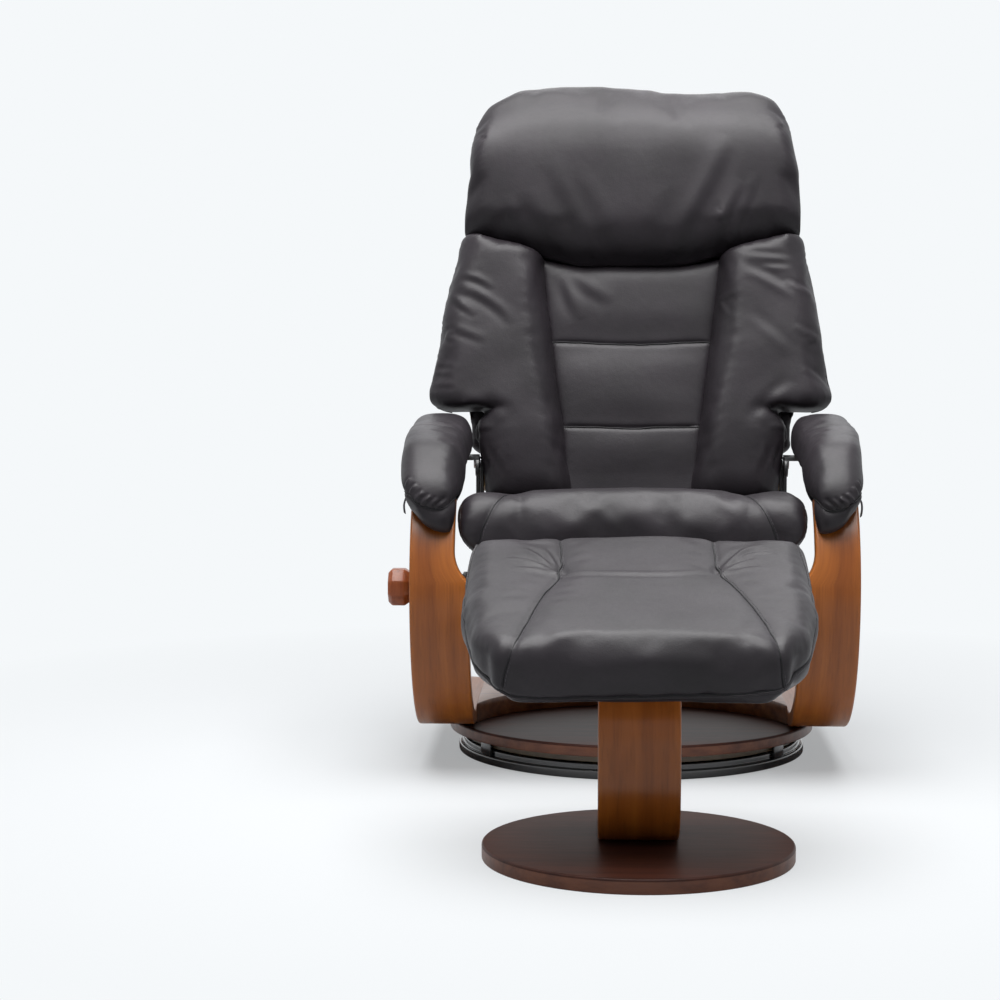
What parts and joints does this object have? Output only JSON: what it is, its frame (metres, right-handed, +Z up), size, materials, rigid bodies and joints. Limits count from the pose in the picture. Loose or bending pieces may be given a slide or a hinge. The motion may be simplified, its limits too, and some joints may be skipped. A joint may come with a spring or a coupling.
{
  "type": "recliner with ottoman",
  "caption": "Swivel recliner with bentwood C arms, padded wings and headrest, on a round walnut base, with a matching ottoman on a bentwood post.",
  "frame": {"origin": "centre of the chair's floor ring, on the floor, on the swivel axis", "axes": "+Z up, -Y the way the chair faces and the side where the ottoman stands, +X to the right as seen from the front"},
  "size_m": [0.824, 1.4611, 1.2068],
  "materials": {
    "ring_black": "gloss",
    "black_bracket": "satin",
    "steel": "satin",
    "screw_steel": "satin",
    "glide_plastic": "matte",
    "walnut": "gloss",
    "lower_disc_wood": "satin",
    "bentwood": "satin",
    "board_wood": "satin",
    "knob_wood": "satin",
    "frame_wood": "matte",
    "leather": "satin",
    "tab_plastic": "matte",
    "webbing": "matte",
    "dust_cloth": "matte"
  },
  "bodies": {
    "base": {"floor_ring": "ring_black", "ring_spokes": "ring_black", "ring_guides": "ring_black", "swivel_plate_lower": "steel", "lower_plate_screws": "screw_steel", "glide_ring": "glide_plastic"},
    "chair_frame": {"swivel_plate_upper": "steel", "upper_plate_screws": "screw_steel", "base_disc_lower": "lower_disc_wood", "base_disc": "walnut", "frame_bolts": "screw_steel", "arm_frame_left": "bentwood", "arm_frame_right": "bentwood", "cross_board": "board_wood", "front_rail": "board_wood", "rail_dowels": "frame_wood", "arm_pad_left": "leather", "arm_pad_right": "leather", "arm_pad_tabs": "tab_plastic", "side_bracket_left": "black_bracket", "side_bracket_right": "black_bracket", "bracket_screws": "screw_steel", "guide_bolts": "screw_steel", "clamp_nut": "screw_steel"},
    "knob": {"tension_knob": "knob_wood", "knob_stud": "screw_steel"},
    "seat": {"seat_rail_left": "frame_wood", "seat_rail_right": "frame_wood", "seat_rail_front": "frame_wood", "seat_rail_rear": "frame_wood", "seat_webbing": "webbing", "seat_dust_cover": "dust_cloth", "seat_cushion": "leather", "seat_bar_left": "black_bracket", "seat_bar_right": "black_bracket", "seat_bar_screws": "screw_steel"},
    "back": {"back_post_left": "frame_wood", "back_post_right": "frame_wood", "back_rail_bottom": "frame_wood", "back_rail_middle": "frame_wood", "back_rail_top": "frame_wood", "back_webbing": "webbing", "back_bar_left": "black_bracket", "back_bar_right": "black_bracket", "back_bar_screws": "screw_steel", "pivot_bolts": "screw_steel", "drive_pins": "screw_steel", "back_centre_cushion": "leather", "back_wing_left": "leather", "back_wing_right": "leather", "back_rear_cover": "leather", "headrest_cushion": "leather"},
    "ottoman": {"ottoman_disc": "walnut", "ottoman_post": "bentwood", "ottoman_pad_board": "frame_wood", "ottoman_cushion": "leather", "ottoman_bolts": "screw_steel"}
  },
  "joints": [
    {"name": "swivel", "type": "hinge", "parent": "base", "child": "chair_frame", "pos_m": [0, 0, 0.024], "axis": [0, 0, 1], "continuous": true},
    {"name": "back_recline", "type": "hinge", "parent": "chair_frame", "child": "back", "pos_m": [0, 0.122, 0.505], "axis": [-1, 0, 0], "range_deg": [0, 25]},
    {"name": "seat_glide", "type": "slide", "parent": "chair_frame", "child": "seat", "axis": [0, -1, 0], "range_m": [0, 0.0445]},
    {"name": "knob_turn", "type": "hinge", "parent": "chair_frame", "child": "knob", "pos_m": [-0.4, -0.05, 0.294], "axis": [-1, 0, 0], "range_deg": [0, 270]},
    {"name": "ottoman_slide", "type": "slide", "parent": "base", "child": "ottoman", "axis": [0, -1, 0], "range_m": [0, 0.4]}
  ],
  "couplings": [
    {"joint": "seat_glide", "follows": "back_recline", "m_per_rad": 0.1017}
  ]
}
